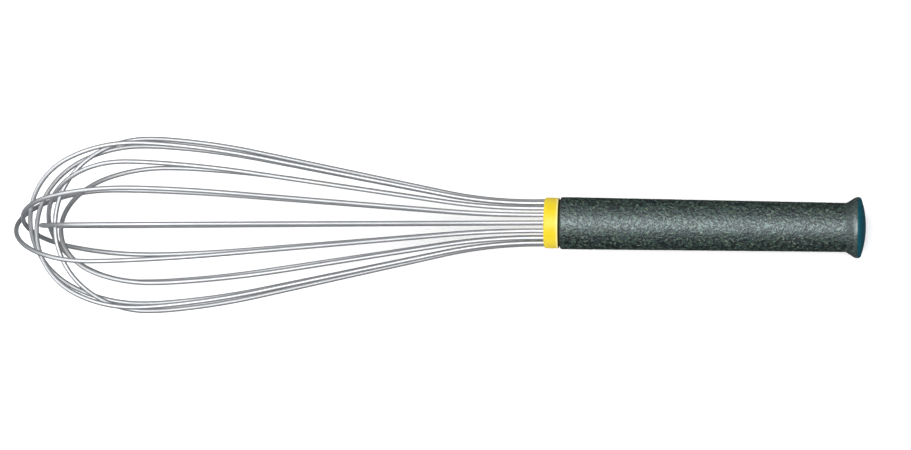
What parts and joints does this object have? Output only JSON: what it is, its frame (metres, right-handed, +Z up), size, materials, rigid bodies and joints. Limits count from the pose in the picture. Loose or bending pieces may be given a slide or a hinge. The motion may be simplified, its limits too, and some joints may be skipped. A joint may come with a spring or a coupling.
{
  "type": "balloon whisk",
  "caption": "Balloon whisk with a nested cage of looped spring wires, a coloured ring and a round textured handle with a flared end, for whipping cream, eggs and batter.",
  "frame": {"origin": "centre of the bounding box's base, on the surface that the whisk lies on", "axes": "+X from the cage's tip towards the handle's rear end, +Z up from the surface"},
  "size_m": [0.399, 0.0826, 0.0853],
  "materials": {
    "spring_wire": "bright drawn stainless spring wire",
    "ring_plastic": "smooth yellow moulded plastic",
    "grip_composite": "grained grey-green glass-filled composite",
    "cap_plastic": "smooth dark blue-green plastic",
    "potting_resin": "cast amber potting resin"
  },
  "bodies": {
    "root": {"wire_loop_1": "spring_wire", "wire_loop_2": "spring_wire", "wire_loop_3": "spring_wire", "wire_loop_4": "spring_wire", "wire_loop_5": "spring_wire", "wire_loop_6": "spring_wire", "wire_loop_7": "spring_wire", "wire_loop_8": "spring_wire", "wire_holder": "ring_plastic", "handle": "grip_composite", "end_cap": "cap_plastic", "sealing_resin": "potting_resin"}
  },
  "joints": []
}
